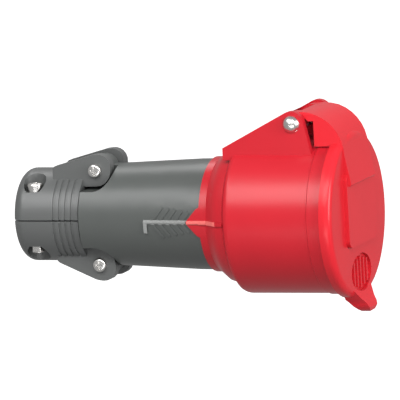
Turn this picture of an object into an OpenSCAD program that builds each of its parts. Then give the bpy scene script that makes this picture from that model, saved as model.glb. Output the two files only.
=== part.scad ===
// Pin and sleeve cable connector with a spring lid, a rear shell and a two-part cable clamp.
// Origin: on the connector's axis, in the plane of the housing's mouth.
// +X points out of the mouth, +Z points up to the lid's hinge.

/* [Front housing] */
// Outer radius of the front housing
housing_r = 38; // [37:0.5:40]
// Inner radius of the housing round the mating plug
mouth_r = 34.4; // [33:0.2:34.6]
// Length from the mouth to the rear end of the full-size barrel
barrel_l = 53; // [51:1:56]
// Length of the collar behind the barrel
collar_l = 14; // [12:1:16]
// Outer radius of the collar
collar_r = 27.8; // [27.4:0.1:28.2]
// Depth of the socket behind the mouth
socket_depth = 41; // [36:1:42]
// Thickness of the web that carries the contact insert
web_t = 4; // [3:0.5:4.5]

/* [Hinge] */
// Distance of the hinge axis behind the mouth
hinge_back = 19.8; // [19:0.2:21]
// Height of the hinge axis over the connector's axis
hinge_up = 46.5; // [46:0.5:49]
// Radius of the hinge pin
pin_r = 2; // [1.6:0.1:2.2]
// Width across the hinge bracket
bracket_w = 42; // [41:0.5:44]
// Thickness of each bracket cheek
cheek_t = 3.4; // [3:0.2:4]
// Radius of the lid's knuckles
knuckle_r = 5.3; // [4.8:0.1:5.5]
// Wire diameter of the lid spring
wire_d = 1.1; // [0.8:0.1:1.3]

/* [Lid] */
// Wall of the lid's skirt
skirt_t = 2.6; // [2.2:0.1:3.2]
// Distance from the mouth to the lid's front face
lid_front = 4.5; // [4.5:0.1:5.5]
// Overlap of the lid's skirt over the mouth
lid_overlap = 1.5; // [1:0.1:1.8]
// Height of the label panel over the lid's face
panel_up = 2; // [1:0.2:2.6]
// Width of the label panel
panel_w = 39; // [36:1:42]
// Height of the hood's strap over the lid's face, at its lower end
strap_up = 3.5; // [3:0.1:4]
// Radius of the lifting tab's round end
tab_r = 7.2; // [6:0.2:8]
// Distance of the tab's tip under the connector's axis
tab_reach = 47.2; // [45:0.2:48]

/* [Contacts] */
// Outer radius of the contact insert
insert_r = 28; // [27:0.2:28.6]
// Radius of the circle that the contacts stand on
pitch_r = 14.2; // [13.8:0.1:14.4]
// Bore radius of the three phase contacts
phase_bore_r = 3.05; // [2.6:0.05:3.1]
// Bore radius of the earth contact
earth_bore_r = 4.05; // [3.6:0.05:4.1]
// Wall of the contact sleeves
sleeve_wall = 1.2; // [1:0.05:1.25]

/* [Rear shell] */
// Outer radius of the rear shell at the collar
shell_front_r = 26.8; // [26.4:0.1:26.9]
// Outer radius of the rear shell at the clamp
shell_rear_r = 24.3; // [24:0.1:25]
// Distance of the rear shell's end face behind the mouth
shell_back = 130; // [128:1:133]
// Radius of the cable bush
bush_r = 11.4; // [10.6:0.2:11.4]
// Radius of the cable hole in the bush
cable_r = 8; // [6:0.5:9]

/* [Cable clamp] */
// Outer radius of the clamp halves
clamp_r = 22.5; // [22:0.1:23]
// Length of the clamp halves
clamp_l = 33.7; // [32:0.1:36]
// Distance of the ear screws from the rear shell's end face
ear_ahead = 5.5; // [5:0.1:7]
// Height of the ear screws over the connector's axis
ear_up = 22.9; // [22:0.1:24]
// Radius of the ears
ear_r = 7.7; // [7:0.1:8]
// Thickness of each clamp arm
arm_t = 5; // [4:0.2:5.4]
// Distance between the middles of a pair of arms
arm_pitch = 19.5; // [18.5:0.1:20]
// Distance of the clamp screws from the middle plane
clamp_screw_y = 13.6; // [13.4:0.1:14]
// Radius of the clamp and ear screws
screw_r = 2; // [1.6:0.1:2.2]

/* [Fits] */
// Radial clearance of the hinge pin
pin_gap = 0.05; // [0.03:0.01:0.08]
// Clearance between pieces that push together
push_gap = 0.2; // [0.1:0.05:0.3]
// Clearance between the lid and the housing
lid_gap = 0.8; // [0.6:0.05:1]

/* [Hidden] */

$fn = 96;
eps = 0.01;
small_fn = 32;

red = "crimson";
grey = "dimgray";
dark = "#303030";
steel = "silver";
brass = "goldenrod";

// Front housing
rim_r = housing_r - 1;
rim_l = lid_overlap + 0.5;
band_r = housing_r + 0.45;
band_back = 8.6;
step_r = housing_r - 4.4;
step_l = 4.2;
collar_back = barrel_l + collar_l;
web_front = socket_depth + 4;
web_back = web_front + web_t;
insert_back_r = 20.8;
web_hole_r = insert_back_r + 0.4;
spigot_r = shell_front_r - 1.9;
spigot_bore_r = spigot_r + push_gap;
lug_r = shell_front_r + 1.6;
lug_t = 3;
lug_groove_r = lug_r + 2 * push_gap;
lug_groove_back = barrel_l + 4.6;
lug_back = lug_groove_back - 0.3;

// Bracket
slope = 27.5;
cheek_lean = 12;
cheek_r = 6.3;
cheek_foot_z = housing_r - 12;
bracket_back = barrel_l + 2.4;
bracket_front = hinge_back - cheek_r / cos(cheek_lean) - (hinge_up - cheek_foot_z) * tan(cheek_lean);
bracket_in = bracket_w / 2 - cheek_t;
roof_t = 3;
roof_front = hinge_back + 8.6;
roof_back = roof_front + 18;

// Lid
lid_r = rim_r + lid_gap + skirt_t;
lid_back_t = 3;
lid_back_x = lid_front - lid_back_t;
seat_x = lid_back_x + 0.7;
lip_in_r = mouth_r - 3.4;
lip_out_r = mouth_r - 1.4;
gasket_t = 2;
knuckle_w = 7.5;
knuckle_out = bracket_in - 0.4;
hood_r = 21;
hood_cx = lid_front + 0.7 - hood_r;
hood_cz = hinge_up + knuckle_r - hood_r;
hood_t = 3;
hood_back = -9.8;
hood_gusset = 4;
hood_low = sqrt(band_r * band_r - knuckle_out * knuckle_out) - 1;
hood_bevel = 1.2;
strap_front = lid_front + strap_up;
strap_low = 15.8;
panel_front = lid_front + panel_up;
panel_top = 22;
panel_bottom = -14;
panel_corner = 4;
recess_z = -28;
recess_w = 14;
recess_h = 9;
recess_deep = 1.5;
rib_pitch = recess_w / 3.2;
rib_half = recess_h - 1.4;

// Contacts
insert_front_x = -4;
phase_r = phase_bore_r + sleeve_wall;
earth_r = earth_bore_r + sleeve_wall;
contact_front = insert_front_x - 3;
contact_back = -(web_front + 12);
bore_depth = 24;
clip_t = 0.6;
contact_angles = [0, 90, 180];
earth_angle = -90;
terminal_x = contact_back + 6;
mount_angles = [45, 135, 270];
mount_r = mouth_r - 3.2;
mount_screw_r = 1.5;

// Rear shell
neck_r = 14.5;
neck_l = 11;
lip_t = 1.5;
lip_r = 9.5;
seal_wire_r = 0.95;
seal_x = -(barrel_l + 9.5);
shell_bore_r = insert_back_r + 0.5;

// Clamp
ear_x = -shell_back + ear_ahead;
clamp_front = shell_back + 1;
clamp_back = clamp_front + clamp_l;
seam = 0.6;
lug_half = 4;
arm_in = (arm_pitch - arm_t) / 2;
arm_out = (arm_pitch + arm_t) / 2;
clamp_screw_x = -(clamp_back - 9.4);
clamp_round = 5.5;
way_r = cable_r + 2.2;
head_r = 3.4;
head_t = 2.4;
cap_r = 4;
cap_t = 4;
head_seat = 13.2;
upper_rise = 25;
lower_rise = 22;
arm_back = clamp_front + 15.5;

// Points of an arc from angle a0 to angle a1 in n steps
function arc(cx, cy, r, a0, a1, n) =
    [for (i = [0:n]) let (a = a0 + (a1 - a0) * i / n) [cx + r * cos(a), cy + r * sin(a)]];

// A profile of [radius, x] points turned about the connector's axis
module turned(points, fn = 96) {
    rotate([0, 90, 0])
        rotate_extrude($fn = fn)
            polygon(points);
}

// A tube along the connector's axis from x0 to x1
module tube(r_out, r_in, x0, x1) {
    turned([[r_in, x0], [r_out, x0], [r_out, x1], [r_in, x1]]);
}

// A round bar along X from x0 to x1
module bar_x(r, x0, x1, fn = 64) {
    translate([x0, 0, 0])
        rotate([0, 90, 0])
            cylinder(r = r, h = x1 - x0, $fn = fn);
}

// A round bar along Y from y0 to y1
module bar_y(r, y0, y1, fn = 48) {
    translate([0, y0, 0])
        rotate([-90, 0, 0])
            cylinder(r = r, h = y1 - y0, $fn = fn);
}

// An outline of [x, z] points made y0 to y1 wide
module slab_y(points, y0, y1) {
    translate([0, y1, 0])
        rotate([90, 0, 0])
            linear_extrude(y1 - y0)
                polygon(points);
}

// An outline of [y, z] points made x0 to x1 deep
module slab_x(points, x0, x1) {
    translate([x0, 0, 0])
        rotate([90, 0, 90])
            linear_extrude(x1 - x0)
                polygon(points);
}

// A box given by its two corners
module block(low, high) {
    translate(low)
        cube([high[0] - low[0], high[1] - low[1], high[2] - low[2]]);
}

// The same shape on the near and the far side
module both_sides() {
    children();
    mirror([0, 1, 0])
        children();
}

// Front housing

// Outside of the housing, grown by t
function housing_outline(t) = concat(
    [[collar_r + t, -collar_back],
     [collar_r + t, -collar_back + 3.6],
     [32.3 + t, -barrel_l - 4.9],
     [step_r + t, -barrel_l - 0.8],
     [housing_r - step_l + t, -barrel_l]],
    arc(housing_r - step_l, -barrel_l + step_l, step_l + t, -30, 0, 3));

module housing_body() {
    turned(concat(
        housing_outline(0),
        [[housing_r, -band_back], [band_r, -band_back + 0.4], [band_r, -rim_l], [rim_r, -rim_l],
         [rim_r, 0], [mouth_r, 0],
         [mouth_r, -web_front], [web_hole_r, -web_front], [web_hole_r, -web_back],
         [lug_groove_r, -web_back], [lug_groove_r, -lug_groove_back],
         [spigot_bore_r, -lug_groove_back], [spigot_bore_r, -collar_back]]));
}

// Height of the bracket's sloping roof at x
function roof_z(x) = hinge_up + cheek_r / cos(slope) + (x + hinge_back) * tan(slope);

// The cheek's outline leans forward from the round end at the hinge down to its foot
function cheek_outline() = concat(
    [[-bracket_back, cheek_foot_z], [-bracket_back, roof_z(-bracket_back)]],
    arc(-hinge_back, hinge_up, cheek_r, 90 + slope, cheek_lean, 8),
    [[-bracket_front, cheek_foot_z]]);

module bracket() {
    difference() {
        slab_y(cheek_outline(), -bracket_w / 2, bracket_w / 2);
        block([-roof_front, -bracket_in, 0], [1, bracket_in, 2 * hinge_up]);
        slab_y([[-roof_back, cheek_foot_z], [-roof_back, roof_z(-roof_back) - roof_t],
                [-roof_front + 1, roof_z(-roof_front + 1) - roof_t], [-roof_front + 1, cheek_foot_z]],
               -bracket_in, bracket_in);
        translate([-hinge_back, 0, hinge_up])
            bar_y(pin_r + pin_gap, -bracket_w, bracket_w);
        bar_x(housing_r - 2, -100, 10);
    }
}

// Outline of the pointed tab on the collar's rear edge
function arrow_outline() = [
    [-collar_back + 3, -9], [-collar_back - 1.5, -6.5], [-collar_back - 6.5, -0.6],
    [-collar_back - 6.5, 0.6], [-collar_back - 1.5, 6.5], [-collar_back + 3, 9]];

module arrow_tab() {
    intersection() {
        tube(collar_r, shell_front_r + push_gap, -collar_back - 8, -collar_back + 2);
        slab_y(arrow_outline(), -collar_r - 2, -10);
    }
}

// A raised line with sloping sides on the near side, from x0 to x1.
// The surface under it is r0 from the axis at x0 and r1 at x1.
module ridge(x0, r0, x1, r1) {
    translate([x0, -r0, 0])
        rotate([0, 0, -atan((r1 - r0) / (x1 - x0))])
            slab_x([[2, -1.3], [0.1, -1.3], [-0.9, -0.35], [-0.9, 0.35], [0.1, 1.3], [2, 1.3]],
                   0, norm([x1 - x0, r1 - r0]));
}

module alignment_rib() {
    intersection() {
        turned(concat([[20, -collar_back]], housing_outline(0.7), [[20, -barrel_l + step_l]]));
        block([-collar_back, -60, -0.9], [-barrel_l + 0.5, -20, 0.9]);
    }
    ridge(-collar_back - 5.5, collar_r, -collar_back + 3.6, collar_r);
}

module front_housing() {
    color(red)
        difference() {
            union() {
                housing_body();
                bracket();
                both_sides() arrow_tab();
                difference() {
                    both_sides() alignment_rib();
                    bar_x(shell_front_r + push_gap, -100, -10, 96);
                    bar_x(lug_groove_r, -lug_groove_back, -web_back, 96);
                }
            }
            for (a = mount_angles)
                rotate([a, 0, 0])
                    translate([0, 0, mount_r])
                        bar_x(mount_screw_r, -web_back + 1, -web_front + 1, small_fn);
        }
}

// Lid

module lid_disc() {
    turned(concat(
        [[0, lid_front]],
        arc(lid_r - 3, lid_front - 3, 3, 90, 0, 4),
        [[lid_r - 0.2, -lid_overlap], [rim_r + lid_gap, -lid_overlap],
         [rim_r + lid_gap, seat_x], [lip_out_r, seat_x], [lip_out_r, seat_x - 1.6],
         [lip_in_r, seat_x - 1.6], [lip_in_r, lid_back_x], [0, lid_back_x]]));
}

// Outline of the hood's strap: up the front, over the top and back to the knuckles.
// inset moves it inwards, and low is the height where it starts.
function strap_outline(inset, low) = concat(
    [[strap_front - inset - 0.8, low], [strap_front - inset, low + 0.8]],
    arc(hood_cx, hood_cz, hood_r - inset, 0, 90, 9),
    [[-hinge_back, hinge_up + knuckle_r - inset]]);

// The hood's side walls and front, open at the back and underneath
module hood_shell() {
    half = knuckle_out;
    difference() {
        intersection() {
            slab_y(concat(strap_outline(0, strap_low), [[-hinge_back, hinge_up + 1],
                [hood_back, hinge_up + 1], [hood_back, hood_low], [-lid_overlap, hood_low],
                [-lid_overlap, hood_low - 8], [lid_front - 1, strap_low]]), -half, half);
            slab_x([[-half, 0], [half, 0], [half, hinge_up + knuckle_r - hood_bevel],
                [half - hood_bevel, hinge_up + knuckle_r], [-half + hood_bevel, hinge_up + knuckle_r],
                [-half, hinge_up + knuckle_r - hood_bevel]], -2 * hinge_back, 30);
        }
        slab_y(concat([[lid_back_x, strap_low - 1], [lid_back_x, hood_cz - 4]],
            arc(hood_cx, hood_cz, hood_r - hood_t, -6, 90, 9),
            [[-hinge_back - 1, hinge_up + knuckle_r - hood_t], [-hinge_back - 1, strap_low - 1]]),
            -half + hood_t, half - hood_t);
        slab_y([[-2 * hinge_back, hinge_up - 20], [-2 * hinge_back, hinge_up + knuckle_r - hood_t],
            [hood_back - hood_gusset, hinge_up + knuckle_r - hood_t],
            [hood_back, hinge_up + knuckle_r - hood_t - hood_gusset], [hood_back, hinge_up - 20]],
            -half - 1, half + 1);
        bar_x(band_r + lid_gap, -30, -lid_overlap + eps, 96);
        bar_x(rim_r + lid_gap, -3, seat_x, 96);
    }
}

module hood_knuckles() {
    difference() {
        union() {
            hood_shell();
            translate([-hinge_back, 0, hinge_up])
                bar_y(knuckle_r, -knuckle_out, knuckle_out);
        }
        translate([-hinge_back, 0, hinge_up])
            bar_y(pin_r + pin_gap, -bracket_w, bracket_w);
        translate([-hinge_back, 0, hinge_up])
            bar_y(knuckle_r + 0.3, -knuckle_out + knuckle_w, knuckle_out - knuckle_w);
    }
}

// The bare label panel that the hood's strap runs down into
module panel() {
    half = panel_w / 2;
    slab_x(concat(
        arc(-half + panel_corner, panel_top - panel_corner, panel_corner, 90, 180, 4),
        arc(-half + panel_corner, panel_bottom + panel_corner, panel_corner, 180, 270, 4),
        arc(half - panel_corner, panel_bottom + panel_corner, panel_corner, 270, 360, 4),
        arc(half - panel_corner, panel_top - panel_corner, panel_corner, 0, 90, 4)),
        lid_front - 1, panel_front);
}

module tab() {
    difference() {
        tab_form();
        bar_x(rim_r + lid_gap, -3, seat_x, 96);
    }
}

module tab_form() {
    intersection() {
        slab_y([[-lid_overlap, -lid_r + 3.6], [-lid_overlap, -lid_r - 0.2], [1.8, -tab_reach + 2.9],
                [5, -tab_reach - 0.2], [7.6, -tab_reach - 0.2], [9.2, -tab_reach + 0.8],
                [9.7, -tab_reach + 2.6], [8.9, -tab_reach + 4.8], [7.2, -tab_reach + 7],
                [lid_front, -lid_r + 5], [1.6, -lid_r + 5]],
               -15, 15);
        slab_x(concat(
            [[-13, -lid_r + 6], [-9.6, -lid_r + 1.6]],
            arc(0, -tab_reach + tab_r, tab_r, 195, 345, 8),
            [[9.6, -lid_r + 1.6], [13, -lid_r + 6]]),
            -20, 20);
    }
}

// Outline of the finger recess, an upright oval ring of points
function recess_outline(w, h) =
    [for (i = [0:31]) let (a = i * 360 / 32) [w * cos(a), recess_z + h * sin(a)]];

module lid() {
    color(red)
        union() {
            difference() {
                union() {
                    lid_disc();
                    panel();
                    hood_knuckles();
                    tab();
                }
                slab_x(recess_outline(recess_w, recess_h), lid_front - recess_deep, lid_front + 5);
            }
            for (i = [-2:2])
                block([lid_front - recess_deep - 0.1, i * rib_pitch - 0.7, recess_z - rib_half + abs(i)],
                      [lid_front - 0.3, i * rib_pitch + 0.7, recess_z + rib_half - abs(i)]);
        }
}

module lid_gasket() {
    color(dark)
        tube(rim_r - 0.1, lip_out_r + 0.2, seat_x - gasket_t, seat_x);
}

// Hinge

module hinge_pin() {
    color(steel)
        translate([-hinge_back, 0, hinge_up]) {
            bar_y(pin_r, -bracket_w / 2 - 1, bracket_w / 2 + 2.2);
            translate([0, -bracket_w / 2, 0])
                rotate([90, 0, 0])
                    rotate_extrude($fn = 48)
                        polygon(concat([[0, 0], [4.3, 0]], arc(0, -1.9, 4.7, 24, 90, 6)));
        }
}

module pin_clip() {
    color(steel)
        translate([-hinge_back, 0, hinge_up])
            difference() {
                bar_y(3.8, bracket_w / 2, bracket_w / 2 + 1);
                bar_y(pin_r, 0, 60);
            }
}

// One bent wire with round section, as rings of points joined to a tube
module wire(points, r, sides) {
    n = len(points);
    function dir(i) = points[min(i + 1, n - 1)] - points[max(i - 1, 0)];
    function unit(v) = v / norm(v);
    ring_points = [for (i = [0:n - 1])
        let (d = unit(dir(i)), u = unit(cross(d, [0.02, 1, 0.03])), v = cross(d, u))
            for (k = [0:sides - 1])
                points[i] + r * (cos(k * 360 / sides) * u + sin(k * 360 / sides) * v)];
    side_faces = [for (i = [0:n - 2]) for (k = [0:sides - 1])
        [i * sides + k, i * sides + (k + 1) % sides,
         (i + 1) * sides + (k + 1) % sides, (i + 1) * sides + k]];
    first = [for (k = [sides - 1:-1:0]) k];
    last = [for (k = [0:sides - 1]) (n - 1) * sides + k];
    polyhedron(ring_points, concat([first], side_faces, [last]), convexity = 8);
}

spring_r = pin_r + wire_d / 2 + 0.9;
spring_half = knuckle_out - knuckle_w - wire_d / 2 - 0.6;
spring_turns = 8;
spring_steps = 16;

function coil_point(i) =
    let (a = 90 + i * 360 / spring_steps, y = spring_half * (2 * i / (spring_turns * spring_steps) - 1))
        [spring_r * cos(a), y, spring_r * sin(a)];

// Height of the hood's inner roof over the hinge axis, at x ahead of it
function hood_roof(x) =
    let (ahead = max(0, x - hinge_back - hood_cx))
        hood_cz - hinge_up + sqrt((hood_r - hood_t) * (hood_r - hood_t) - ahead * ahead);

function leg_point(x) = [x, -spring_half, hood_roof(x) - wire_d / 2 - 0.4];

module lid_spring() {
    coil = [for (i = [0:spring_turns * spring_steps]) coil_point(i)];
    floor_z = housing_r + wire_d / 2 + 0.3 - hinge_up;
    front_leg = [leg_point(9), leg_point(5), leg_point(3.2) + [0, 0, 0.6], [1.5, -spring_half, spring_r]];
    rear_leg = [[-1.6, spring_half, spring_r - 0.1], [-4.5, spring_half, spring_r - 2.5],
                [-12, spring_half, floor_z]];
    color(steel)
        translate([-hinge_back, 0, hinge_up])
            wire(concat(front_leg, coil, rear_leg), wire_d / 2, 6);
}

// Contacts and insert

// Puts children on the contact circle at an angle, seen from the front
module at_contact(angle) {
    translate([0, pitch_r * cos(angle), pitch_r * sin(angle)])
        children();
}

module contact(angle, bore_r) {
    r = bore_r + sleeve_wall;
    color(brass)
        at_contact(angle)
            difference() {
                bar_x(r, contact_back, contact_front, 48);
                bar_x(bore_r, contact_front - bore_depth, contact_front + 1, 48);
                bar_x(2.4, contact_back - 1, contact_back + 11, small_fn);
                block([contact_front - 18, -0.4, -r - 1], [contact_front + 1, 0.4, r + 1]);
                rotate([90 + angle, 0, 0])
                    translate([terminal_x, 0, 0])
                        mirror([0, 0, 1])
                            cylinder(r = 1.8, h = r + 1, $fn = small_fn);
            }
}

module contact_l1() {
    contact(contact_angles[0], phase_bore_r);
}

module contact_l2() {
    contact(contact_angles[1], phase_bore_r);
}

module contact_l3() {
    contact(contact_angles[2], phase_bore_r);
}

module earth_contact() {
    contact(earth_angle, earth_bore_r);
}

module clip_ring(angle, r) {
    at_contact(angle)
        difference() {
            bar_x(r + clip_t, contact_front - 12, contact_front - 4, 48);
            bar_x(r, contact_front - 13, contact_front - 3, 48);
            block([contact_front - 13, -0.6, 0], [contact_front - 3, 0.6, r + 2]);
        }
}

module contact_springs() {
    color(steel) {
        for (a = contact_angles)
            clip_ring(a, phase_r);
        clip_ring(earth_angle, earth_r);
    }
}

module insert_hole(angle, r) {
    at_contact(angle)
        bar_x(r + clip_t + push_gap, -web_front - 1, 0, 48);
}

module insert_front() {
    color(grey)
        difference() {
            turned([[0, -web_front], [mouth_r - push_gap, -web_front], [mouth_r - push_gap, -socket_depth],
                    [insert_r, -socket_depth], [insert_r, insert_front_x - 1],
                    [insert_r - 1, insert_front_x], [0, insert_front_x]]);
            for (a = contact_angles)
                insert_hole(a, phase_r);
            insert_hole(earth_angle, earth_r);
            for (a = mount_angles)
                rotate([a, 0, 0])
                    translate([0, 0, mount_r])
                        bar_x(mount_screw_r + 0.2, -web_front - 1, -socket_depth + 1, small_fn);
        }
}

module insert_back() {
    color(dark)
        difference() {
            bar_x(insert_back_r, contact_back + 1, -web_front, 96);
            for (a = contact_angles)
                at_contact(a)
                    bar_x(phase_r + 0.05, -80, -10, 48);
            at_contact(earth_angle)
                bar_x(earth_r + 0.05, -80, -10, 48);
            bar_x(3, -80, -10, small_fn);
            for (a = concat(contact_angles, [earth_angle]))
                rotate([90 + a, 0, 0])
                    translate([terminal_x, 0, 0])
                        mirror([0, 0, 1])
                            cylinder(r = 2.5, h = 40, $fn = small_fn);
        }
}

module terminal_screw(angle) {
    rotate([90 + angle, 0, 0])
        translate([terminal_x, 0, 0])
            mirror([0, 0, 1])
                difference() {
                    translate([0, 0, pitch_r + 1])
                        cylinder(r = 1.75, h = insert_back_r - 0.5 - pitch_r - 1, $fn = small_fn);
                    translate([-3, -0.3, insert_back_r - 1.1])
                        cube([6, 0.6, 2]);
                }
}

module terminal_screws() {
    color(steel) {
        for (a = contact_angles)
            terminal_screw(a);
        terminal_screw(earth_angle);
    }
}

module insert_screws() {
    color(steel)
        for (a = mount_angles)
            rotate([a, 0, 0])
                translate([0, 0, mount_r])
                    difference() {
                        union() {
                            bar_x(mount_screw_r, -web_back + 1.2, -socket_depth + 0.5, small_fn);
                            bar_x(2.7, -socket_depth, -socket_depth + 1.6, small_fn);
                        }
                        block([-socket_depth + 0.8, -0.35, -3], [-socket_depth + 3, 0.35, 3]);
                    }
}

// Rear shell

function shell_outline(t) = [
    [shell_rear_r + t, -shell_back], [shell_rear_r + 0.7 + t, -shell_back + 20],
    [shell_front_r - 0.1 + t, -collar_back - 8],
    [shell_front_r + t, -collar_back]];

module shell_body() {
    turned(concat(
        shell_outline(0),
        [[spigot_r, -collar_back], [spigot_r, seal_x - 1.1], [spigot_r - 1.9, seal_x - 1.1],
         [spigot_r - 1.9, seal_x + 1.1], [spigot_r, seal_x + 1.1], [spigot_r, -barrel_l - 1],
         [shell_bore_r, -barrel_l - 1], [shell_bore_r, -shell_back + 34], [bush_r + 0.1, -shell_back + 18],
         [bush_r + 0.1, -shell_back - neck_l + lip_t], [lip_r, -shell_back - neck_l + lip_t],
         [lip_r, -shell_back - neck_l], [neck_r, -shell_back - neck_l], [neck_r, -shell_back]]));
}

// Skin of thickness t on the rear shell, for raised marks
module shell_skin(t) {
    turned(concat([[20, -shell_back]], shell_outline(t), [[20, -collar_back]]));
}

chevrons = 5;
chevron_pitch = 3.9;
chevron_l = 9.5;
grip_back = -collar_back - 29;
grip_front = -collar_back - 7;

// Outer radius of the shell's tapered middle at x
function shell_r(x) =
    let (back = -shell_back + 20, front = -collar_back - 8, r = shell_rear_r + 0.7)
        r + (shell_front_r - 0.1 - r) * (x - back) / (front - back);

module grip_marks() {
    ridge(grip_back, shell_r(grip_back), grip_front, shell_r(grip_front));
    intersection() {
        shell_skin(0.8);
        block([grip_back, -40, -5.4], [grip_back + 1.8, -20, 0]);
    }
    intersection() {
        shell_skin(0.4);
        for (i = [0:chevrons - 1], s = [-1, 1])
            translate([grip_back + 4 + i * chevron_pitch, -30, 0])
                rotate([0, s * 52, 0])
                    block([0, -10, -0.7], [chevron_l - i * 0.8, 10, 0.7]);
    }
}

// Space for one ear on the shell's rear end, above the axis
module ear_space() {
    translate([ear_x, 0, ear_up])
        bar_y(ear_r + 1.5, lug_half, 40);
    block([-shell_back - 1, lug_half, ear_up - ear_r - 1.5], [ear_x, 40, 60]);
}

module ear_lug() {
    translate([ear_x, 0, ear_up])
        bar_y(ear_r - 1.5, -lug_half, lug_half);
    block([ear_x - 5, -lug_half, 13], [ear_x + ear_r - 1.5, lug_half, ear_up]);
}

module above_and_below() {
    children();
    mirror([0, 0, 1])
        children();
}

module rear_shell() {
    color(grey)
        difference() {
            union() {
                difference() {
                    shell_body();
                    above_and_below() both_sides() ear_space();
                }
                above_and_below() ear_lug();
                both_sides() grip_marks();
                for (a = [30, 150, 270])
                    rotate([a, 0, 0])
                        intersection() {
                            tube(lug_r, spigot_r - 1, -lug_back, -lug_back + lug_t);
                            block([-100, -5, 10], [0, 5, 40]);
                        }
            }
            above_and_below()
                translate([ear_x, 0, ear_up])
                    bar_y(screw_r + pin_gap, -30, 30, small_fn);
        }
}

module joint_seal() {
    color(dark)
        translate([seal_x, 0, 0])
            rotate([0, 90, 0])
                rotate_extrude($fn = 96)
                    translate([spigot_bore_r - seal_wire_r - 0.03, 0])
                        circle(r = seal_wire_r, $fn = 24);
}

bush_back = -shell_back - neck_l + lip_t;
bush_l = 12;
washer_t = 1.5;

module cable_bush() {
    color(dark)
        turned([[cable_r, bush_back], [bush_r, bush_back], [bush_r, bush_back + bush_l],
                [cable_r + 1.5, bush_back + bush_l], [cable_r, bush_back + bush_l - 2]]);
}

module bush_washer() {
    color(steel)
        tube(bush_r, cable_r + 0.8, bush_back + bush_l, bush_back + bush_l + washer_t);
}

// Cable clamp

groove_t = 1.1;
groove_deep = 0.6;
groove_pitch = 3.1;

function groove(i) =
    let (x = -clamp_front - 2.7 - i * groove_pitch)
        [[clamp_r, x], [clamp_r - groove_deep, x - 0.2], [clamp_r - groove_deep, x - groove_t],
         [clamp_r, x - groove_t - 0.2]];

// A ridge round the cable's way, at a distance from the clamp's rear end
function grip_ridge(x) =
    [[way_r, -clamp_back + x], [way_r - 1.3, -clamp_back + x + 1.5], [way_r, -clamp_back + x + 3]];

module clamp_barrel() {
    turned(concat(
        [[clamp_r, -clamp_front]],
        groove(0), groove(1), groove(2), groove(3),
        arc(clamp_r - clamp_round, -clamp_back + clamp_round - 0.5, clamp_round, 0, -65, 5),
        [[clamp_r - clamp_round + 1, -clamp_back], [way_r + 1.4, -clamp_back], [way_r, -clamp_back + 2]],
        grip_ridge(5), grip_ridge(11),
        [[way_r, -shell_back - neck_l - 1], [neck_r + 0.4, -shell_back - neck_l - 1],
         [neck_r + 0.4, -clamp_front]]));
}

// Round outline of an ear, fuller towards its outer front corner
function ear_arc(a0, a1, n) =
    [for (i = [0:n]) let (a = a0 + (a1 - a0) * i / n, r = ear_r * (1 + 0.12 * max(0, sin(2 * a))))
        [ear_x + r * cos(a), ear_up + r * sin(a)]];

// Outline of one clamp arm with its ear; rise is the height of its rear end
function arm_outline(rise) =
    let (tilt = asin((ear_up + ear_r - rise) / (arm_back + ear_x)) - 3)
        concat(
            [[-arm_back, 14], [-arm_back, rise - 1], [-arm_back + 1, rise]],
            ear_arc(90 + tilt, -90, 14),
            [[-clamp_front, ear_up - ear_r], [-clamp_front - 1, 14]]);

module clamp_half(rise) {
    difference() {
        union() {
            intersection() {
                clamp_barrel();
                block([-300, -60, seam / 2], [0, 60, 60]);
            }
            difference() {
                both_sides()
                    slab_y(arm_outline(rise), arm_in, arm_out);
                bar_x(neck_r + 0.4, -shell_back - neck_l - 1, 0, 64);
                bar_x(cable_r + 3, -300, 0, 64);
            }
        }
        both_sides()
            translate([clamp_screw_x, clamp_screw_y, 0])
                cylinder(r = screw_r + 0.1, h = 40, $fn = small_fn);
        both_sides()
            translate([clamp_screw_x, clamp_screw_y, head_seat])
                cylinder(r = cap_r + 1.5, h = 40, $fn = small_fn);
        translate([ear_x, 0, ear_up])
            bar_y(screw_r + pin_gap, -30, 30, small_fn);
    }
}

module clamp_upper() {
    color(grey)
        clamp_half(upper_rise);
}

module clamp_lower() {
    color(grey)
        mirror([0, 0, 1])
            clamp_half(lower_rise);
}

// A round head with a driver cross, on top of z = 0
module pan_head(r, t) {
    round_r = 1.2;
    difference() {
        rotate_extrude($fn = 48)
            polygon(concat([[0, 0], [r, 0], [r, t - round_r]],
                           arc(r - round_r, t - round_r, round_r, 0, 90, 4), [[0, t]]));
        translate([-2, -0.45, t - 1])
            cube([4, 0.9, 2]);
        translate([-0.45, -2, t - 1])
            cube([0.9, 4, 2]);
    }
}

module nut(t) {
    difference() {
        cylinder(r = screw_r * 1.95, h = t, $fn = 6);
        translate([0, 0, -1])
            cylinder(r = screw_r + 0.02, h = t + 2, $fn = small_fn);
    }
}

nut_t = 3;

module clamp_screws() {
    color(steel)
        both_sides()
            translate([clamp_screw_x, clamp_screw_y, head_seat]) {
                pan_head(cap_r, cap_t);
                translate([0, 0, -2 * head_seat - nut_t - 0.4])
                    cylinder(r = screw_r, h = 2 * head_seat + nut_t + 0.5, $fn = small_fn);
            }
}

module clamp_nuts() {
    color(steel)
        both_sides()
            translate([clamp_screw_x, clamp_screw_y, -head_seat - nut_t])
                nut(nut_t);
}

module ear_screw() {
    color(steel)
        translate([ear_x, -arm_out, ear_up])
            rotate([90, 0, 0]) {
                pan_head(head_r, head_t);
                translate([0, 0, -2 * arm_out - nut_t - 0.8])
                    cylinder(r = screw_r, h = 2 * arm_out + nut_t + 0.9, $fn = small_fn);
            }
}

module upper_ear_screw() {
    ear_screw();
}

module lower_ear_screw() {
    mirror([0, 0, 1])
        ear_screw();
}

module ear_nuts() {
    color(steel)
        above_and_below()
            translate([ear_x, arm_out, ear_up])
                rotate([-90, 0, 0])
                    nut(nut_t);
}

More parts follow.
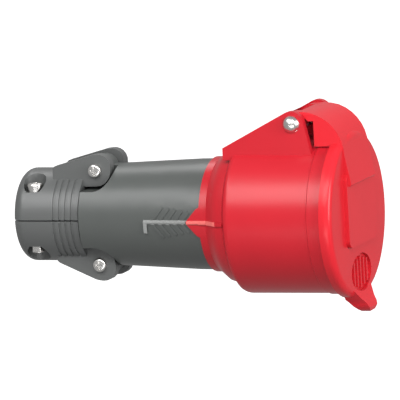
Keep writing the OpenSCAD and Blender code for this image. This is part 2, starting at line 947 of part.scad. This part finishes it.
front_housing();
lid();
lid_gasket();
hinge_pin();
pin_clip();
lid_spring();
insert_front();
insert_back();
contact_l1();
contact_l2();
contact_l3();
earth_contact();
contact_springs();
terminal_screws();
insert_screws();
rear_shell();
joint_seal();
cable_bush();
bush_washer();
clamp_upper();
clamp_lower();
clamp_screws();
clamp_nuts();
upper_ear_screw();
lower_ear_screw();
ear_nuts();
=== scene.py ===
"""Dresses the pin and sleeve connector: materials, rounded edges, spring wire, light and camera."""
import math

import bpy
from mathutils import Matrix, Vector


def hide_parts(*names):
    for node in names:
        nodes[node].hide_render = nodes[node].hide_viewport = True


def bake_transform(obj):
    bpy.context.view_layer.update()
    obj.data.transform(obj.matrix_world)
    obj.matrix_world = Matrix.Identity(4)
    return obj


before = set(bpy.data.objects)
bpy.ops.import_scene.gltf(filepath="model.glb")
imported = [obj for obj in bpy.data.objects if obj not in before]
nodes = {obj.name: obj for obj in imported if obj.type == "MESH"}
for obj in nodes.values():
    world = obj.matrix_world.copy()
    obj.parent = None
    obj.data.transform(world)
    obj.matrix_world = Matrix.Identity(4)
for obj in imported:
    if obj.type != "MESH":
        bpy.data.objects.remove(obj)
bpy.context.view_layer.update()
MM = 0.001

# Camera, in metres but for the lens and the sensor, which are in millimetres
AZIMUTH = math.radians(20.7)
ELEVATION = math.radians(8.5)
ROLL = math.radians(3.2)
DISTANCE = 6.0
LENS = 1122.5
SENSOR_WIDTH = 36.0
CLIP_START = 0.05
CLIP_END = 1000.0
AIM = Vector((-76.1, 0.0, 6.7)) * MM

# Floor and backdrop
FLOOR_Z = -0.5
FLOOR_SIZE = 40.0
FLOOR_COLOUR = (0.8, 0.8, 0.8)
FLOOR_ROUGHNESS = 0.9
FLOOR_GLOW = 0.9
BACKDROP_STRENGTH = 1.0
WORLD_STRENGTH = 0.4

# Lamps: place and aim in metres, width and height in metres, power in watts
MIDDLE = (-0.07, 0.0, 0.0)
SHELL_MIDDLE = (-0.13, 0.0, 0.0)
LAMPS = {
    "key": ((0.05, -0.95, 0.78), MIDDLE, (1.4, 0.6), 20.0),
    "side": ((1.1, -0.35, 0.3), MIDDLE, (0.5, 0.6), 14.0),
    "high": ((-0.72, -0.6, 0.85), SHELL_MIDDLE, (0.2, 0.4), 2.5),
    "back": ((-0.2, 0.7, 1.1), MIDDLE, (1.0, 0.5), 6.5),
    "low": ((0.15, -0.9, -0.3), MIDDLE, (0.9, 0.25), 3.0),
}

# Plastics and metals, linear colours
WHITE = (1.0, 1.0, 1.0)
RED = (0.40, 0.010, 0.018)
# The lid's red is the housing's red painted paler, a painted highlight for the stronger light on the
# lid
LIT_RED_LID = (0.50, 0.014, 0.022)
GREY = (0.061, 0.066, 0.063)
GREY_CLAMP = (0.078, 0.081, 0.080)
# Painted highlight: the raised line's glint, painted as a paler red and a paler grey
RED_LINE_HIGHLIGHT = (0.62, 0.12, 0.11)
GREY_LINE_HIGHLIGHT = (0.20, 0.205, 0.20)
DARK = (0.02, 0.02, 0.02)
INSERT = (0.08, 0.08, 0.085)
STEEL = (0.72, 0.71, 0.69)
BRASS = (0.78, 0.56, 0.26)

# Plastic: how far its colour varies, and its fine relief. Noise scales are waves to a metre
TINT_SPREAD = 0.05
TINT_SCALE, TINT_DETAIL = 45.0, 2.0
RELIEF_SCALE, RELIEF_DETAIL = 1400.0, 4.0
RELIEF_STRENGTH = 0.03
RELIEF_DEPTH = 0.2 * MM

# Metal: its darkest share of the colour, and how far its roughness varies
METAL_SHADE = 0.9
METAL_ROUGHNESS_SPREAD = 0.03
METAL_SCALE, METAL_DETAIL = 300.0, 2.0

# Where the raised line runs, painted paler as a highlight, as lowest and highest x and z in
# millimetres
COLLAR_LINE_HIGHLIGHT = [((-73.5, -57.0), (-1.0, 1.0))]
SHELL_LINE_HIGHLIGHT = [((-96.1, -72.0), (-1.1, 1.1)), ((-96.1, -94.2), (-5.4, 0.0))]

# Edges
SHARP_ANGLE = math.radians(28.0)
WELD_DISTANCE = 0.002 * MM
BEVEL_SEGMENTS = 2


def add_camera():
    side = Vector((math.cos(AZIMUTH), math.sin(AZIMUTH), 0.0))
    back = Vector((math.sin(AZIMUTH) * math.cos(ELEVATION),
                   -math.cos(AZIMUTH) * math.cos(ELEVATION),
                   math.sin(ELEVATION)))
    up = back.cross(side)
    right = side * math.cos(ROLL) - up * math.sin(ROLL)
    top = up * math.cos(ROLL) + side * math.sin(ROLL)
    data = bpy.data.cameras.new("camera")
    data.lens = LENS
    data.sensor_width = SENSOR_WIDTH
    data.clip_start = CLIP_START
    data.clip_end = CLIP_END
    camera = bpy.data.objects.new("camera", data)
    turn = Matrix((right, top, back)).transposed().to_4x4()
    camera.matrix_world = Matrix.Translation(AIM + back * DISTANCE) @ turn
    bpy.context.scene.collection.objects.link(camera)
    bpy.context.scene.camera = camera


def new_material(name):
    """A material with only its shader: (material, its node tree, the shader)."""
    material = bpy.data.materials.new(name)
    material.use_nodes = True
    return material, material.node_tree, material.node_tree.nodes["Principled BSDF"]


def set_colour(socket, colour):
    socket.default_value = (*colour, 1.0)


def add_noise(tree, scale, detail):
    """Noise over the part's own coordinates: a share from 0 to 1."""
    coords = tree.nodes.new("ShaderNodeTexCoord")
    noise = tree.nodes.new("ShaderNodeTexNoise")
    noise.inputs["Scale"].default_value = scale
    noise.inputs["Detail"].default_value = detail
    tree.links.new(coords.outputs["Object"], noise.inputs["Vector"])
    return noise.outputs["Fac"]


def mix_colour(tree, share, low, high):
    """A colour that goes from low to high with a share from 0 to 1."""
    node = tree.nodes.new("ShaderNodeMix")
    node.data_type = "RGBA"
    tree.links.new(share, node.inputs["Factor"])
    for identifier, colour in (("A_Color", low), ("B_Color", high)):
        socket = next(i for i in node.inputs if i.identifier == identifier)
        if isinstance(colour, tuple):
            set_colour(socket, colour)
        else:
            tree.links.new(colour, socket)
    return next(o for o in node.outputs if o.identifier == "Result_Color")


def map_share(tree, share, result):
    """Takes a share from 0 to 1 smoothly to the lowest and highest value of a result."""
    node = tree.nodes.new("ShaderNodeMapRange")
    node.interpolation_type = "SMOOTHSTEP"
    node.inputs["From Min"].default_value = 0.0
    node.inputs["From Max"].default_value = 1.0
    node.inputs["To Min"].default_value = result[0]
    node.inputs["To Max"].default_value = result[1]
    tree.links.new(share, node.inputs["Value"])
    return node.outputs["Result"]


def math_node(tree, operation, *values):
    """A math node over numbers and sockets: its result."""
    node = tree.nodes.new("ShaderNodeMath")
    node.operation = operation
    for socket, value in zip(node.inputs, values):
        if isinstance(value, (int, float)):
            socket.default_value = value
        else:
            tree.links.new(value, socket)
    return node.outputs["Value"]


def highlight_share(tree, highlight_bands):
    """1 inside any of the strips of the painted highlight, which are spans of x and z in millimetres,
    and 0 outside.
    """
    coords = tree.nodes.new("ShaderNodeTexCoord")
    place = tree.nodes.new("ShaderNodeSeparateXYZ")
    tree.links.new(coords.outputs["Object"], place.inputs["Vector"])
    share = 0.0
    for spans in highlight_bands:
        inside = [math_node(tree, "COMPARE", place.outputs[axis],
                            (low + high) / 2 * MM, (high - low) / 2 * MM)
                  for axis, (low, high) in zip("XZ", spans)]
        both = math_node(tree, "MULTIPLY", *inside)
        share = math_node(tree, "MAXIMUM", both, share)
    return share


def plastic(name, colour, rough, specular=0.5, highlight_bands=(), highlight_colour=None):
    """Moulded plastic with a fine grain, with a painted highlight on the strips of a raised line."""
    material, tree, shader = new_material(name)
    low = tuple(c * (1.0 - TINT_SPREAD) for c in colour)
    high = tuple(c * (1.0 + TINT_SPREAD) for c in colour)
    tint = mix_colour(tree, add_noise(tree, TINT_SCALE, TINT_DETAIL), low, high)
    # Painted highlight: the raised line's strips take a paler colour
    if highlight_bands:
        tint = mix_colour(tree, highlight_share(tree, highlight_bands), tint, highlight_colour)
    tree.links.new(tint, shader.inputs["Base Color"])
    shader.inputs["Roughness"].default_value = rough
    shader.inputs["Specular IOR Level"].default_value = specular
    relief = tree.nodes.new("ShaderNodeBump")
    relief.inputs["Strength"].default_value = RELIEF_STRENGTH
    relief.inputs["Distance"].default_value = RELIEF_DEPTH
    tree.links.new(add_noise(tree, RELIEF_SCALE, RELIEF_DETAIL), relief.inputs["Height"])
    tree.links.new(relief.outputs["Normal"], shader.inputs["Normal"])
    return material


def metal(name, colour, rough):
    """Plated or turned metal with faint uneven brightness."""
    material, tree, shader = new_material(name)
    grain = add_noise(tree, METAL_SCALE, METAL_DETAIL)
    low = tuple(c * METAL_SHADE for c in colour)
    tree.links.new(mix_colour(tree, grain, low, colour), shader.inputs["Base Color"])
    gloss = map_share(tree, grain, (rough - METAL_ROUGHNESS_SPREAD, rough + METAL_ROUGHNESS_SPREAD))
    tree.links.new(gloss, shader.inputs["Roughness"])
    shader.inputs["Metallic"].default_value = 1.0
    return material


def dress(piece, material, edge):
    """Gives a piece its material, smooth shading and edges rounded by edge millimetres.

    With an edge of 0 the sharp edges stay crisp and only the shading is evened out.
    """
    piece.data.materials.clear()
    piece.data.materials.append(material)
    for polygon in piece.data.polygons:
        polygon.use_smooth = True
    weld = piece.modifiers.new("weld", "WELD")
    weld.merge_threshold = WELD_DISTANCE
    if edge:
        bevel = piece.modifiers.new("bevel", "BEVEL")
        bevel.width = edge * MM
        bevel.segments = BEVEL_SEGMENTS
        bevel.limit_method = "ANGLE"
        bevel.angle_limit = SHARP_ANGLE
        bevel.use_clamp_overlap = True
    else:
        split = piece.modifiers.new("split", "EDGE_SPLIT")
        split.split_angle = SHARP_ANGLE
    even = piece.modifiers.new("even", "WEIGHTED_NORMAL")
    even.keep_sharp = True


def add_spring_wire():
    """A copy of the lid spring's wire, which stands in for the hidden lid spring."""
    wire = bpy.data.objects.new("spring_wire", nodes["lid_spring"].data.copy())
    bpy.context.scene.collection.objects.link(wire)
    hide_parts("lid_spring")
    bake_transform(wire)
    return wire


def add_floor():
    """A white floor that glows, but throws no light onto the part and isn't mirrored in it."""
    bpy.ops.mesh.primitive_plane_add(size=FLOOR_SIZE, location=(0.0, 0.0, FLOOR_Z))
    floor = bpy.context.object
    floor.name = "floor"
    material, _, shader = new_material("floor_paint")
    set_colour(shader.inputs["Base Color"], FLOOR_COLOUR)
    shader.inputs["Roughness"].default_value = FLOOR_ROUGHNESS
    set_colour(shader.inputs["Emission Color"], WHITE)
    shader.inputs["Emission Strength"].default_value = FLOOR_GLOW
    floor.data.materials.append(material)
    floor.visible_diffuse = False
    floor.visible_glossy = False


def add_world():
    """A backdrop as white as the floor, which lights the part only softly."""
    bpy.context.scene.view_settings.view_transform = "Standard"
    world = bpy.data.worlds.new("world")
    world.use_nodes = True
    tree = world.node_tree
    background = tree.nodes["Background"]
    set_colour(background.inputs["Color"], WHITE)
    rays = tree.nodes.new("ShaderNodeLightPath")
    strength = map_share(tree, rays.outputs["Is Camera Ray"], (WORLD_STRENGTH, BACKDROP_STRENGTH))
    tree.links.new(strength, background.inputs["Strength"])
    bpy.context.scene.world = world


def add_lamp(name, place, aim, size, power):
    """A rectangular soft lamp at a place, facing aim."""
    data = bpy.data.lights.new(name, "AREA")
    data.shape = "RECTANGLE"
    data.size, data.size_y = size
    data.energy = power
    lamp = bpy.data.objects.new(name, data)
    lamp.location = place
    direction = Vector(place) - Vector(aim)
    lamp.rotation_euler = direction.to_track_quat("Z", "Y").to_euler()
    bpy.context.scene.collection.objects.link(lamp)


add_camera()
add_floor()
add_world()
for lamp_name, settings in LAMPS.items():
    add_lamp(lamp_name, *settings)

# The collar and the shell get a painted highlight along their raised line
red = plastic("red_moulding", RED, 0.29, 0.32, COLLAR_LINE_HIGHLIGHT, RED_LINE_HIGHLIGHT)
red_lid = plastic("red_lid_moulding", LIT_RED_LID, 0.27, 0.22)
grey = plastic("grey_moulding", GREY, 0.34, 0.5, SHELL_LINE_HIGHLIGHT, GREY_LINE_HIGHLIGHT)
grey_clamp = plastic("grey_clamp_moulding", GREY_CLAMP, 0.34)
rubber = plastic("seal_rubber", DARK, 0.6)
insert = plastic("insert_moulding", INSERT, 0.45)
steel = metal("plated_steel", STEEL, 0.25)
brass = metal("turned_brass", BRASS, 0.25)

# Each piece's material, and how far its edges are rounded, in millimetres
FINISHES = {
    "front_housing": (red, 0.5), "lid": (red_lid, 0.5), "lid_gasket": (rubber, 0.2),
    "hinge_pin": (steel, 0.15), "pin_clip": (steel, 0.1),
    "insert_front": (insert, 0.3), "insert_back": (insert, 0.2), "contact_l1": (brass, 0.1),
    "contact_l2": (brass, 0.1), "contact_l3": (brass, 0.1), "earth_contact": (brass, 0.1),
    "contact_springs": (steel, 0), "terminal_screws": (steel, 0.1), "insert_screws": (steel, 0.1),
    "rear_shell": (grey, 0), "joint_seal": (rubber, 0), "cable_bush": (rubber, 0.3),
    "bush_washer": (steel, 0.1), "clamp_upper": (grey_clamp, 0.35), "clamp_lower": (grey_clamp, 0.35),
    "clamp_screws": (steel, 0.15), "clamp_nuts": (steel, 0.15), "upper_ear_screw": (steel, 0.15),
    "lower_ear_screw": (steel, 0.15), "ear_nuts": (steel, 0.15),
}
for node_name, (finish, edge_width) in FINISHES.items():
    dress(nodes[node_name], finish, edge_width)
dress(add_spring_wire(), steel, 0)
